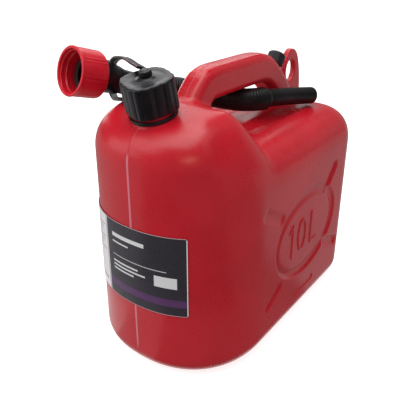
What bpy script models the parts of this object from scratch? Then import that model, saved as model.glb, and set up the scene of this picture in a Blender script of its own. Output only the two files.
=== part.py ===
"""Ten-litre blow-moulded fuel can with its pouring spout stored through the handle.

Frame: metres, +Z up. The origin is the centre of the flat base, on the mould's
parting plane X = 0. The round front end with the filler neck faces -Y.
"""

import math

import bmesh
import bpy
from mathutils import Matrix, Vector

# ---------------------------------------------------------------- dimensions, mm
TANK_WIDTH = 181.5
TANK_LENGTH = 314.6
TANK_DRAFT = 0.0101  # each side leans in by this much per mm of height
FRONT_SLANT = 0.0088  # the front leans back by this much per mm of height
REFERENCE_Z = 110.0  # height at which the width and length above are taken
FRONT_CENTRE_Y = -67.1  # the round front end starts here
FRONT_POWER = 2.2  # 2 would be a plain half ellipse
REAR_CORNER = 47.3
BASE_ROUND = 22.0
WALL = 2.0

ROOF_Z = 220.0
HUMP_RISE = 41.8  # the front dome stands this far above the roof
HUMP_BACK_Y = -88.0  # under the handle a tongue of the dome falls from here
HUMP_FALL = 105.6  # and reaches the roof after this length
HUMP_BEND = 0.01455  # per mm, how far that fall moves forward off centre
DOME_HOLD_Y = -111.5  # behind this the dome keeps the width that it has here
DOME_SIDE = 0.0132  # per mm, how it falls towards its sides
DOME_BACK_Y = -93.2  # the dome's steep rear face starts here
DOME_BACK = 50.0  # and reaches the roof after this length
NECK_SLOPE = 0.235  # the dome's slope down towards the front
SHOULDER_FRONT = 28.6
SHOULDER_SIDE = 39.0
SHOULDER_POWER = 2.4  # 2 would be a plain quarter round
TROUGH_X = 29.7  # knuckle troughs beside the handle
TROUGH_REACH = 17.0
TROUGH_DEPTH = 4.3
TROUGH_Y = (-14.0, 74.0)

HANDLE_HALF_WIDTH = 14.3
HANDLE_EDGE = 8.0
HANDLE_CROWN = 1.2  # the top stands this much higher on the parting line
GRIP_HALF = 15.4
LEG_HALF = 14.4

NECK_BASE = Vector((0.0, -119.7, 258.4))
NECK_TILT = 13.24  # degrees, towards the front
NECK_RADIUS = 19.3
NECK_BORE = 16.8
NECK_HEIGHT = 28.0

CAP_RADIUS = 23.3
CAP_LOBE = 1.1  # the cap's four corners stand out by this much
CAP_LOBE_TURN = 20.0  # degrees from +X to the first corner
CAP_BORE = 20.9
CAP_BOTTOM = 4.2
CAP_HEIGHT = 28.6
CAP_CEILING = 26.4

VENT_RIM = Vector((0.0, 98.8, 277.3))
VENT_TILT = 34.0  # degrees, towards the back
VENT_CAP_RADIUS = 10.2
VENT_CAP_BORE = 7.7
VENT_CAP_HEIGHT = 12.4
VENT_NECK_RADIUS = 6.9
VENT_NECK_BORE = 4.4

LUG_HALF = 3.5
LUG_HOLE = (129.3, 254.6, 11.2, 13.2)  # centre y, centre z, half y, half z

SPOUT_MOUTH = Vector((-94.5, -129.19, 284.54))  # centre of the union nut's open end
SPOUT_AXIS = Vector((0.182, 0.947, -0.267)).normalized()  # from there, inwards
SPOUT_DROP = 1.6  # the spout lies this much below the loose nut's own axis
NUT_LENGTH = 32.0
NUT_RADIUS = 23.9
NUT_REAR_RADIUS = 22.8
NUT_BORE = 20.9
NUT_WEB = 2.6
NUT_HOLE = 16.4
FLANGE_RADIUS = 18.8
FLANGE_FRONT = 18.6  # from the nut's open end
CUP_BORE = 15.6
CUP_DEPTH = 7.0
COLLAR_RADIUS = 14.4
COLLAR_END = 50.0
HOSE_RADIUS = 12.5
TIP_RADIUS = 9.8
SPOUT_WALL = 2.0
GASKET_THICK = 2.0

LABEL_LOW, LABEL_HIGH = 77.0, 160.6
LABEL_GAP, LABEL_THICK = 0.35, 0.4
LABEL_FROM, LABEL_TO = -52.0, 35.4  # degrees round the front end

CLEAR = 0.4  # gap between neighbouring pieces

MM = 0.001


# ---------------------------------------------------------------- helpers
def clear_scene():
    for obj in list(bpy.data.objects):
        bpy.data.objects.remove(obj, do_unlink=True)


def material(name, colour, roughness, metallic=0.0):
    mat = bpy.data.materials.new(name)
    mat.use_nodes = True
    shader = mat.node_tree.nodes["Principled BSDF"]
    shader.inputs["Base Color"].default_value = (*colour, 1.0)
    shader.inputs["Roughness"].default_value = roughness
    shader.inputs["Metallic"].default_value = metallic
    mat.diffuse_color = (*colour, 1.0)
    return mat


def new_object(name, mesh, mat=None):
    obj = bpy.data.objects.new(name, mesh)
    bpy.context.scene.collection.objects.link(obj)
    if mat:
        mesh.materials.append(mat)
    return obj


def finish_mesh(bm, name, mat=None, angle=32.0):
    bmesh.ops.recalc_face_normals(bm, faces=bm.faces)
    mesh = bpy.data.meshes.new(name)
    bm.to_mesh(mesh)
    bm.free()
    mesh.shade_smooth()
    mesh.set_sharp_from_angle(angle=math.radians(angle))
    return new_object(name, mesh, mat)


def skin(bm, rings, close=False):
    """Quads between one ring of points and the next; close joins last to first."""
    made = [[bm.verts.new(Vector(p) * MM) for p in ring] for ring in rings]
    pairs = list(zip(made[:-1], made[1:]))
    if close:
        pairs.append((made[-1], made[0]))
    for low, high in pairs:
        count = len(low)
        for i in range(count):
            j = (i + 1) % count
            bm.faces.new((low[i], low[j], high[j], high[i]))
    return made


def turned(name, profile, steps, mat=None, swell=None):
    """A closed solid of revolution about local Z from (radius, height) points.

    A radius of zero closes the solid on its axis. swell(angle, index) adds to
    the radius, for lobes.
    """
    bm = bmesh.new()
    rings = []
    for index, (radius, height) in enumerate(profile):
        if radius == 0:
            rings.append([bm.verts.new((0, 0, height * MM))])
            continue
        ring = []
        for k in range(steps):
            a = 2 * math.pi * k / steps
            r = radius + (swell(a, index) if swell else 0.0)
            ring.append(
                bm.verts.new((r * math.cos(a) * MM, r * math.sin(a) * MM, height * MM))
            )
        rings.append(ring)
    last = len(rings) if profile[0][0] == 0 else len(rings) + 1
    for index in range(1, last):
        low, high = rings[index - 1], rings[index % len(rings)]
        for k in range(steps):
            j = (k + 1) % steps
            corners = []
            for v in (
                low[k % len(low)],
                low[j % len(low)],
                high[j % len(high)],
                high[k % len(high)],
            ):
                if v not in corners:
                    corners.append(v)
            if len(corners) > 2:
                bm.faces.new(corners)
    return finish_mesh(bm, name, mat)


def place(obj, point, direction):
    """Puts local Z along the direction, with the origin on the joint's axis."""
    obj.location = Vector(point) * MM
    obj.rotation_mode = "QUATERNION"
    obj.rotation_quaternion = Vector(direction).to_track_quat("Z", "Y")


def boolean(target, cutter, operation):
    mod = target.modifiers.new(operation.title(), "BOOLEAN")
    mod.operation = operation
    mod.solver = "EXACT"
    mod.object = cutter
    cutter.hide_render = True
    cutter.display_type = "WIRE"
    return mod


def smooth_step(t):
    return 0.5 * (1 + math.cos(math.pi * min(max(t, 0.0), 1.0)))


def lesser(a, b, blend):
    """The smaller of two numbers, with a rounded change from one to the other."""
    h = max(blend - abs(a - b), 0.0) / blend
    return min(a, b) - h * h * blend * 0.25


def route(points, per_span):
    """A smooth curve through all the points, with equal weight to each span."""
    out = []
    count = len(points)
    for i in range(count - 1):
        p1, p2 = points[i], points[i + 1]
        p0 = points[i - 1] if i else p1 - (p2 - p1)
        p3 = points[i + 2] if i + 2 < count else p2 + (p2 - p1)
        t0, t1 = 0.0, (p1 - p0).length ** 0.5
        t2 = t1 + (p2 - p1).length ** 0.5
        t3 = t2 + (p3 - p2).length ** 0.5
        for k in range(per_span):
            t = t1 + (t2 - t1) * k / per_span
            a1 = p0 * ((t1 - t) / (t1 - t0)) + p1 * ((t - t0) / (t1 - t0))
            a2 = p1 * ((t2 - t) / (t2 - t1)) + p2 * ((t - t1) / (t2 - t1))
            a3 = p2 * ((t3 - t) / (t3 - t2)) + p3 * ((t - t2) / (t3 - t2))
            b1 = a1 * ((t2 - t) / (t2 - t0)) + a2 * ((t - t0) / (t2 - t0))
            b2 = a2 * ((t3 - t) / (t3 - t1)) + a3 * ((t - t1) / (t3 - t1))
            out.append(b1 * ((t2 - t) / (t2 - t1)) + b2 * ((t - t1) / (t2 - t1)))
    out.append(points[-1].copy())
    return out


# ---------------------------------------------------------------- the tank's form
def outline(inset, z):
    """The tank's plan outline at a height, moved inwards by inset."""
    half = TANK_WIDTH / 2 - TANK_DRAFT * (z - REFERENCE_Z) - inset
    front = -TANK_LENGTH / 2 + FRONT_SLANT * (z - REFERENCE_Z) + inset
    depth = FRONT_CENTRE_Y - front
    rear = TANK_LENGTH / 2 - inset
    corner = max(REAR_CORNER - inset, 3.0)
    points = []
    steps = 26
    for k in range(steps + 1):
        a = math.pi * (k / steps - 0.5)
        s, c = math.sin(a), math.cos(a)
        x = half * math.copysign(abs(s) ** (2 / FRONT_POWER), s)
        y = FRONT_CENTRE_Y - depth * max(c, 0.0) ** (2 / FRONT_POWER)
        points.append((x, y))
    side = []
    for k in range(1, 6):
        side.append((half, FRONT_CENTRE_Y + (rear - corner - FRONT_CENTRE_Y) * k / 6))
    for k in range(7):
        a = math.pi / 2 * k / 6
        side.append(
            (
                half - corner + corner * math.cos(a),
                rear - corner + corner * math.sin(a),
            )
        )
    side.append(((half - corner) / 2, rear))
    points += side
    points.append((0.0, rear))
    points += [(-x, y) for x, y in reversed(side)]
    return points


def roof_height(x, y):
    """Height of the roof and the front dome, without the rounded shoulder."""
    tongue = smooth_step((y - HUMP_BACK_Y + HUMP_BEND * x * x) / HUMP_FALL)
    held = lesser(y, DOME_HOLD_Y, 22.0)
    side = smooth_step((held - HUMP_BACK_Y + DOME_SIDE * x * x) / HUMP_FALL)
    back = smooth_step(min(max((y - DOME_BACK_Y) / DOME_BACK, 0.0), 1.0) ** 1.44)
    rise = min(-lesser(-tongue, -side * back, 0.12), 1.0)
    z = ROOF_Z - 0.0002 * x * x + HUMP_RISE * rise
    ahead = max(0.0, HUMP_BACK_Y - y)
    z -= NECK_SLOPE * ahead * ahead / (ahead + 10.0)
    gap = max(TROUGH_Y[0] - y, 0.0, y - TROUGH_Y[1])
    d = math.hypot(abs(x) - TROUGH_X, gap)
    return z - TROUGH_DEPTH * smooth_step(d / TROUGH_REACH)


def shoulder_radius(x, y):
    if y > FRONT_CENTRE_Y:
        return SHOULDER_SIDE
    s = min(abs(x) / (TANK_WIDTH / 2), 1.0)
    return SHOULDER_FRONT + (SHOULDER_SIDE - SHOULDER_FRONT) * s


def tank_solid(name, wall):
    """The tank without its fittings. wall moves every face inwards."""
    rings = []
    base_round = max(BASE_ROUND - wall, 4.0)
    for k in range(4):
        a = math.pi / 2 * k / 3
        z = wall + base_round * (1 - math.cos(a))
        inset = wall + base_round * (1 - math.sin(a))
        rings.append([(x, y, z) for x, y in outline(inset, z)])
    edge = outline(0.0, 190.0)
    radius = [shoulder_radius(x, y) for x, y in edge]
    for k in range(6):
        a = math.pi / 2 * k / 5
        across = 1 - max(math.cos(a), 0.0) ** (2 / SHOULDER_POWER)
        down = 1 - math.sin(a) ** (2 / SHOULDER_POWER)
        full = [outline(wall + (r - wall) * across, 190.0)[i] for i, r in enumerate(radius)]
        ring = []
        for (x, y), r in zip(full, radius):
            drop = (r - wall) * down
            z = roof_height(x, y) - wall - drop
            ring.append((x, y, z))
        rings.append(ring)
    rim = [(p[0], p[1]) for p in rings[-1]]
    spine = [(0.0, min(max(y, -62.0), 96.0)) for _, y in rim]
    for k in range(1, 6):
        t = k / 6
        ring = []
        for (x, y), (sx, sy) in zip(rim, spine):
            px, py = x + (sx - x) * t, y + (sy - y) * t
            ring.append((px, py, roof_height(px, py) - wall))
        rings.append(ring)
    bm = bmesh.new()
    made = skin(bm, rings)
    bm.faces.new(list(reversed(made[0])))
    tops = {}
    top = []
    for _, sy in spine:
        key = round(sy, 3)
        if key not in tops:
            tops[key] = bm.verts.new(Vector((0.0, sy, roof_height(0.0, sy) - wall)) * MM)
        top.append(tops[key])
    last = made[-1]
    for i in range(len(last)):
        j = (i + 1) % len(last)
        corners = [last[i], last[j]]
        if top[j] is not top[i]:
            corners.append(top[j])
        corners.append(top[i])
        bm.faces.new(corners)
    return finish_mesh(bm, name, None, 30.0)


# Handle centre line in the parting plane: y, z, half thickness.
HANDLE_LINE = [
    (-76.0, 240.0, LEG_HALF - 0.8),
    (-66.0, 252.6, LEG_HALF - 0.4),
    (-56.2, 262.8, LEG_HALF),
    (-48.6, 268.4, GRIP_HALF - 0.6),
    (-38.0, 270.2, GRIP_HALF - 0.1),
    (-20.0, 270.4, GRIP_HALF),
    (12.0, 270.4, GRIP_HALF),
    (36.0, 270.3, GRIP_HALF),
    (50.0, 269.4, GRIP_HALF - 0.2),
    (61.0, 266.8, GRIP_HALF - 0.5),
    (69.0, 262.6, LEG_HALF + 0.2),
    (80.0, 254.0, LEG_HALF),
    (92.0, 243.4, LEG_HALF - 0.2),
    (103.0, 231.4, LEG_HALF - 0.4),
    (114.0, 217.6, LEG_HALF - 0.8),
    (121.0, 206.0, LEG_HALF - 1.2),
]


def handle_solid(name, wall):
    """The handle arch: a rounded oblong section swept along its centre line."""
    line = route([Vector((y, z, h)) for y, z, h in HANDLE_LINE], 2)
    half = HANDLE_HALF_WIDTH - wall
    rings = []
    for i, p in enumerate(line):
        before, after = line[max(i - 1, 0)], line[min(i + 1, len(line) - 1)]
        d = Vector((after.x - before.x, after.y - before.y)).normalized()
        n = Vector((-d.y, d.x))
        thick = p.z - wall
        edge = max(HANDLE_EDGE - wall, 1.5)
        ring = []
        for sx, sn in ((1, 1), (-1, 1), (-1, -1), (1, -1)):
            for k in range(4):
                a = math.pi / 2 * k / 3
                if sx * sn < 0:
                    a = math.pi / 2 - a
                u = half - edge + edge * math.cos(a)
                v = thick - edge + edge * math.sin(a)
                ring.append(
                    (sx * u, p.x + n.x * sn * v, p.y + n.y * sn * v)
                )
            if sx * sn > 0:
                # the middle of the top, or of the underside
                v = thick + (HANDLE_CROWN if sn > 0 else 0.0)
                ring.append((0.0, p.x + n.x * sn * v, p.y + n.y * sn * v))
        rings.append(ring)
    bm = bmesh.new()
    made = skin(bm, rings)
    bm.faces.new(made[0])
    bm.faces.new(list(reversed(made[-1])))
    return finish_mesh(bm, name, None)


def lug_solid():
    """The flat hanging lug in the parting plane, behind the handle."""
    shape = [
        (113.0, 222.0), (114.0, 240.0), (114.4, 252.0), (116.0, 263.5),
        (119.0, 272.0), (124.5, 278.2), (131.0, 279.8), (138.4, 277.6),
        (144.2, 272.0), (149.2, 262.5), (153.4, 249.0), (156.0, 234.0),
        (156.8, 222.0), (154.5, 206.0), (146.0, 196.0), (124.0, 198.0),
    ]
    bm = bmesh.new()
    rings = [
        [(x, y, z) for y, z in shape] for x in (-LUG_HALF, LUG_HALF)
    ]
    made = skin(bm, rings)
    bm.faces.new(made[0])
    bm.faces.new(list(reversed(made[1])))
    return finish_mesh(bm, "lug_blank", None)


def oval_cutter():
    cy, cz, hy, hz = LUG_HOLE
    bm = bmesh.new()
    rings = []
    for x in (-8.0, 8.0):
        rings.append(
            [
                (x, cy + hy * math.cos(2 * math.pi * k / 24), cz + hz * math.sin(2 * math.pi * k / 24))
                for k in range(24)
            ]
        )
    made = skin(bm, rings)
    bm.faces.new(made[0])
    bm.faces.new(list(reversed(made[1])))
    return finish_mesh(bm, "lug_hole_cutter", None)


def rod(name, point, direction, radius, low, high, steps=40):
    obj = turned(
        name,
        [(0, low), (radius, low), (radius, high), (0, high)],
        steps,
    )
    place(obj, point, direction)
    return obj


# ---------------------------------------------------------------- build
clear_scene()
RED = material("can_red", (0.42, 0.018, 0.022), 0.36)
NUT_RED = material("nut_red", (0.50, 0.018, 0.022), 0.34)
BLACK = material("cap_black", (0.012, 0.011, 0.013), 0.38)
SOFT_BLACK = material("spout_black", (0.011, 0.010, 0.012), 0.46)
SEAL = material("seal_grey", (0.62, 0.62, 0.60), 0.6)
RUBBER = material("gasket_rubber", (0.02, 0.02, 0.02), 0.7)
PAPER = material("label_film", (0.03, 0.028, 0.032), 0.4)

neck_dir = Vector((0, -math.sin(math.radians(NECK_TILT)), math.cos(math.radians(NECK_TILT))))
vent_dir = Vector((0, math.sin(math.radians(VENT_TILT)), math.cos(math.radians(VENT_TILT))))

# --- can body: one blow-moulded shell of tank, handle, necks and lug
can = tank_solid("can_body", 0.0)
can.data.materials.append(RED)
boolean(can, handle_solid("handle_outer", 0.0), "UNION")
boolean(can, rod("neck_outer", NECK_BASE, neck_dir, NECK_RADIUS, -16.0, NECK_HEIGHT), "UNION")
boolean(can, rod("vent_outer", VENT_RIM, vent_dir, VENT_NECK_RADIUS, -24.0, -2.9, 28), "UNION")
boolean(can, lug_solid(), "UNION")

inner = tank_solid("cavity_cutter", WALL)
boolean(inner, handle_solid("handle_inner", WALL), "UNION")
boolean(can, inner, "DIFFERENCE")
boolean(can, rod("neck_bore", NECK_BASE, neck_dir, NECK_BORE, -22.0, NECK_HEIGHT + 6.0), "DIFFERENCE")
boolean(can, rod("vent_bore", VENT_RIM, vent_dir, VENT_NECK_BORE, -27.0, 4.0, 20), "DIFFERENCE")
boolean(can, oval_cutter(), "DIFFERENCE")

# --- filler cap with its rivet head, seal and tether
def lobes(a, index):
    corners = math.cos(4 * (a - math.radians(CAP_LOBE_TURN)))
    return CAP_LOBE * corners if index in CAP_LOBED else 0.0


top = CAP_BOTTOM + CAP_HEIGHT
CAP_LOBED = (1, 2, 3, 4)
cap_profile = [
    (CAP_BORE, CAP_BOTTOM),
    (CAP_RADIUS - 0.6, CAP_BOTTOM),
    (CAP_RADIUS, CAP_BOTTOM + 1.2),
    (CAP_RADIUS - 0.5, top - 1.2),
    (CAP_RADIUS - 1.8, top),
    (15.0, top - 0.7),
    (2.2, top - 0.7),
    (2.2, top + 1.9),
    (3.0, top + 2.3),
    (2.7, top + 3.9),
    (0, top + 4.2),
    (0, CAP_BOTTOM + CAP_CEILING),
    (CAP_BORE, CAP_BOTTOM + CAP_CEILING),
]


def closed_turned(name, profile, steps, mat, swell=None):
    """turned() for a profile that meets the axis twice in its middle."""
    bm = bmesh.new()
    rings = []
    for index, (radius, height) in enumerate(profile):
        if radius == 0:
            rings.append([bm.verts.new((0, 0, height * MM))])
            continue
        ring = []
        for k in range(steps):
            a = 2 * math.pi * k / steps
            r = radius + (swell(a, index) if swell else 0.0)
            ring.append(bm.verts.new((r * math.cos(a) * MM, r * math.sin(a) * MM, height * MM)))
        rings.append(ring)
    for index in range(len(rings)):
        low, high = rings[index], rings[(index + 1) % len(rings)]
        if len(low) == 1 and len(high) == 1:
            continue
        for k in range(steps):
            j = (k + 1) % steps
            corners = []
            for v in (low[k % len(low)], low[j % len(low)], high[j % len(high)], high[k % len(high)]):
                if v not in corners:
                    corners.append(v)
            bm.faces.new(corners)
    return finish_mesh(bm, name, mat)


cap = closed_turned("filler_cap", cap_profile, 48, BLACK, lobes)
place(cap, NECK_BASE, neck_dir)

seal_top = CAP_BOTTOM + CAP_CEILING - CLEAR
seal = turned(
    "filler_cap_seal",
    [(0, seal_top - 1.6), (19.4, seal_top - 1.6), (19.4, seal_top), (0, seal_top)],
    40,
    SEAL,
)
place(seal, NECK_BASE, neck_dir)

# The tether's button snaps over the headed pin in the middle of the cap.
eyelet = closed_turned(
    "tether_eyelet",
    [
        (2.6, top - 0.2),
        (3.9, top - 0.2),
        (5.6, top + 2.6),
        (5.6, top + 5.0),
        (4.5, top + 6.8),
        (0, top + 7.8),
        (0, top + 4.8),
        (3.4, top + 4.4),
        (3.4, top + 1.9),
        (2.6, top + 1.5),
    ],
    28,
    BLACK,
)
place(eyelet, NECK_BASE, neck_dir)

neck_ring = closed_turned(
    "tether_neck_ring",
    [(NECK_RADIUS + CLEAR, -1.5), (22.0, -1.5), (22.0, 1.5), (NECK_RADIUS + CLEAR, 1.5)],
    48,
    BLACK,
)
place(neck_ring, NECK_BASE, neck_dir)

# The strap leaves the eyelet, passes over the stored spout and comes back
# under it to the ring on the neck.
strap_points = [
    Vector(p)
    for p in (
        (-6.2, -125.2, 297.2), (-16.8, -118.2, 296.6), (-28.5, -111.3, 296.4),
        (-41.5, -103.6, 296.6), (-55.3, -95.5, 295.9), (-68.2, -88.0, 294.2),
        (-80.6, -80.6, 291.0), (-92.2, -74.4, 284.4), (-100.6, -70.6, 271.0),
        (-99.5, -74.0, 259.6), (-91.5, -78.1, 252.4), (-82.5, -83.6, 251.2),
        (-71.0, -91.5, 253.4), (-59.5, -100.5, 258.0), (-47.0, -108.6, 261.0),
        (-35.0, -112.0, 262.0), (-22.4, -111.2, 263.1),
    )
]
STRAP_HALF_WIDTH = 3.4
STRAP_HALF_THICK = 0.9
strap_rings = []
strap_line = route(strap_points, 3)
for i, p in enumerate(strap_line):
    tangent = (strap_line[min(i + 1, len(strap_line) - 1)] - strap_line[max(i - 1, 0)]).normalized()
    wide = (SPOUT_AXIS - tangent * SPOUT_AXIS.dot(tangent)).normalized()
    flat = tangent.cross(wide)
    strap_rings.append(
        [
            tuple(p + wide * (sw * STRAP_HALF_WIDTH) + flat * (sf * STRAP_HALF_THICK))
            for sw, sf in ((1, 1), (-1, 1), (-1, -1), (1, -1))
        ]
    )
bm = bmesh.new()
made = skin(bm, strap_rings)
bm.faces.new(made[0])
bm.faces.new(list(reversed(made[-1])))
finish_mesh(bm, "tether_strap", BLACK, 40.0)

# --- vent cap and its seal
vent_cap = closed_turned(
    "vent_cap",
    [
        (VENT_CAP_BORE, -VENT_CAP_HEIGHT),
        (VENT_CAP_RADIUS, -VENT_CAP_HEIGHT),
        (VENT_CAP_RADIUS, 0.0),
        (VENT_CAP_RADIUS - 1.2, 1.1),
        (0, 1.3),
        (0, -1.7),
        (VENT_CAP_BORE, -1.7),
    ],
    36,
    BLACK,
)
place(vent_cap, VENT_RIM, vent_dir)
vent_seal = turned(
    "vent_cap_seal",
    [(0, -2.7), (7.2, -2.7), (7.2, -1.95), (0, -1.95)],
    28,
    SEAL,
)
place(vent_seal, VENT_RIM, vent_dir)

# --- spout: union nut, gasket and the flexible hose
nut = closed_turned(
    "spout_union_nut",
    [
        (NUT_BORE, 0.0),
        (NUT_RADIUS - 0.4, 0.0),
        (NUT_RADIUS, 1.0),
        (NUT_REAR_RADIUS, NUT_LENGTH - 3.4),
        (NUT_REAR_RADIUS - 3.8, NUT_LENGTH),
        (NUT_HOLE, NUT_LENGTH),
        (NUT_HOLE, NUT_LENGTH - NUT_WEB),
        (NUT_BORE, NUT_LENGTH - NUT_WEB),
    ],
    48,
    NUT_RED,
)
place(nut, SPOUT_MOUTH, SPOUT_AXIS)

downwards = Vector((0, 0, -1))
downwards = (downwards - SPOUT_AXIS * downwards.dot(SPOUT_AXIS)).normalized()
SPOUT_START = SPOUT_MOUTH + downwards * SPOUT_DROP
gasket = closed_turned(
    "spout_gasket",
    [
        (13.0, FLANGE_FRONT - CLEAR - GASKET_THICK),
        (18.4, FLANGE_FRONT - CLEAR - GASKET_THICK),
        (18.4, FLANGE_FRONT - CLEAR),
        (13.0, FLANGE_FRONT - CLEAR),
    ],
    40,
    RUBBER,
)
place(gasket, SPOUT_START, SPOUT_AXIS)

# The hose's centre line, from the end of its straight collar to its tip.
HOSE_POINTS = [
    SPOUT_START + SPOUT_AXIS * COLLAR_END,
    Vector((-75.0, -66.2, 263.2)),
    Vector((-62.5, -42.0, 257.6)),
    Vector((-47.0, -23.6, 253.8)),
    Vector((-32.6, -6.6, 248.5)),
    Vector((-16.2, 6.1, 243.8)),
    Vector((2.8, 16.4, 241.7)),
    Vector((15.0, 27.6, 241.4)),
    Vector((22.0, 44.0, 240.7)),
    Vector((30.0, 80.3, 236.5)),
    Vector((40.1, 114.7, 232.0)),
]
hose_line = route(HOSE_POINTS, 4)
lengths = [0.0]
for a, b in zip(hose_line[:-1], hose_line[1:]):
    lengths.append(lengths[-1] + (b - a).length)
HOSE_LENGTH = lengths[-1]
TIP_FROM, TIP_TO = 166.0, 171.0  # the taper, as lengths along the hose


def hose_radius(s):
    if s < 14.0:
        return COLLAR_RADIUS + (HOSE_RADIUS - COLLAR_RADIUS) * s / 14.0
    if s < TIP_FROM:
        return HOSE_RADIUS
    if s < TIP_TO:
        return HOSE_RADIUS + (TIP_RADIUS - HOSE_RADIUS) * (s - TIP_FROM) / (TIP_TO - TIP_FROM)
    return TIP_RADIUS


flange_rear = NUT_LENGTH - NUT_WEB - CLEAR
# Distance along the straight base, outer radius and bore; None where a ring
# belongs to one surface only.
base_rings = [
    (FLANGE_FRONT, FLANGE_RADIUS, CUP_BORE),
    (FLANGE_FRONT + CUP_DEPTH, None, CUP_BORE),
    (flange_rear, FLANGE_RADIUS, COLLAR_RADIUS - SPOUT_WALL),
    (flange_rear, COLLAR_RADIUS, None),
]
HOSE_STEPS = 24
outer_rings, inner_rings = [], []


def hose_ring(centre, tangent, sideways, radius):
    up = tangent.cross(sideways)
    return [
        tuple(
            centre
            + sideways * (radius * math.cos(2 * math.pi * k / HOSE_STEPS))
            + up * (radius * math.sin(2 * math.pi * k / HOSE_STEPS))
        )
        for k in range(HOSE_STEPS)
    ]


side = SPOUT_AXIS.cross(Vector((0, 0, 1))).normalized()
for along, outer, bore in base_rings:
    centre = SPOUT_START + SPOUT_AXIS * along
    if outer:
        outer_rings.append(hose_ring(centre, SPOUT_AXIS, side, outer))
    if bore:
        inner_rings.append(hose_ring(centre, SPOUT_AXIS, side, bore))
for i, (p, s) in enumerate(zip(hose_line, lengths)):
    if i == 0:
        t = SPOUT_AXIS.copy()
    else:
        after = hose_line[min(i + 1, len(hose_line) - 1)]
        t = (after - hose_line[i - 1]).normalized()
    side = (side - t * side.dot(t)).normalized()
    outer_rings.append(hose_ring(p, t, side, hose_radius(s)))
    inner_rings.append(hose_ring(p, t, side, hose_radius(s) - SPOUT_WALL))
bm = bmesh.new()
skin(bm, outer_rings + list(reversed(inner_rings)), close=True)
finish_mesh(bm, "flexible_spout", SOFT_BLACK, 35.0)

# --- the label on the round front end
def label_point(angle, z, out):
    """A point out from the tank's front wall, at an angle seen from above."""
    half = TANK_WIDTH / 2 - TANK_DRAFT * (z - REFERENCE_Z)
    depth = FRONT_CENTRE_Y + TANK_LENGTH / 2 - FRONT_SLANT * (z - REFERENCE_Z)
    a = math.radians(angle)
    s, c = math.sin(a), math.cos(a)
    k = (abs(s / half) ** FRONT_POWER + (c / depth) ** FRONT_POWER) ** (-1 / FRONT_POWER)
    x, y = k * s, k * c
    nx = math.copysign(abs(x / half) ** (FRONT_POWER - 1) / half, x)
    ny = (y / depth) ** (FRONT_POWER - 1) / depth
    n = math.hypot(nx, ny)
    return (x + out * nx / n, FRONT_CENTRE_Y - y - out * ny / n, z)


columns = 22
label_rings = []
for k in range(columns + 1):
    angle = LABEL_FROM + (LABEL_TO - LABEL_FROM) * k / columns
    label_rings.append(
        [
            label_point(angle, LABEL_LOW, LABEL_GAP + 0.25),
            label_point(angle, LABEL_LOW, LABEL_GAP + LABEL_THICK + 0.25),
            label_point(angle, LABEL_HIGH, LABEL_GAP + LABEL_THICK + 0.25),
            label_point(angle, LABEL_HIGH, LABEL_GAP + 0.25),
        ]
    )
bm = bmesh.new()
made = skin(bm, label_rings)
bm.faces.new(made[0])
bm.faces.new(list(reversed(made[-1])))
finish_mesh(bm, "front_label", PAPER, 30.0)
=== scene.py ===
"""A red ten-litre fuel can with its pouring spout stored through the handle.

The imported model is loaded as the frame, and every piece that shows is built
here over it. Lengths in the geometry code are millimetres in the frame's axes:
+Z up, the round front end towards -Y, and X = 0 on the mould's parting plane.
"""

import math

import bmesh
import bpy
import numpy as np
from mathutils import Matrix, Vector


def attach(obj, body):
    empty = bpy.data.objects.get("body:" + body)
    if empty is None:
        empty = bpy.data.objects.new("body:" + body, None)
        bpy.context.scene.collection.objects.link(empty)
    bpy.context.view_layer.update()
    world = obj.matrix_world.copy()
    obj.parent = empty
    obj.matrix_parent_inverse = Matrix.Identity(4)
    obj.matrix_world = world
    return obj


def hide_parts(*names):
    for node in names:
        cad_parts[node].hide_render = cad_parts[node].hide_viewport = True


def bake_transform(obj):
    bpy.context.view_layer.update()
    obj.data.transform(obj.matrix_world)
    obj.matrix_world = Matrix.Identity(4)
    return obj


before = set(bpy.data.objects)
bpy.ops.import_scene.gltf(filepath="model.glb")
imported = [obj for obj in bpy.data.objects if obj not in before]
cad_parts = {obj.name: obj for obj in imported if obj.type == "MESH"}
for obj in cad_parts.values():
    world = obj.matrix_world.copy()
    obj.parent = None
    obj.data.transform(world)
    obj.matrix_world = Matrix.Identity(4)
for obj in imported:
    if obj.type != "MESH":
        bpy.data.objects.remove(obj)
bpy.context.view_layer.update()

MM = 0.001
scene = bpy.context.scene


# =============================================================== small helpers
def unit(v):
    v = np.asarray(v, float)
    return v / np.linalg.norm(v)


def step(t):
    """Smooth rise from 0 at t = 0 to 1 at t = 1."""
    t = np.clip(t, 0.0, 1.0)
    return t * t * (3 - 2 * t)


def fall(t):
    """Cosine fall from 1 at t = 0 to 0 at t = 1."""
    return 0.5 * (1 + np.cos(math.pi * np.clip(t, 0.0, 1.0)))


def smooth_min(a, b, k):
    h = np.maximum(k - np.abs(a - b), 0.0) / k
    return np.minimum(a, b) - h * h * k * 0.25


def smooth_max(a, b, k):
    return -smooth_min(-a, -b, k)


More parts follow.
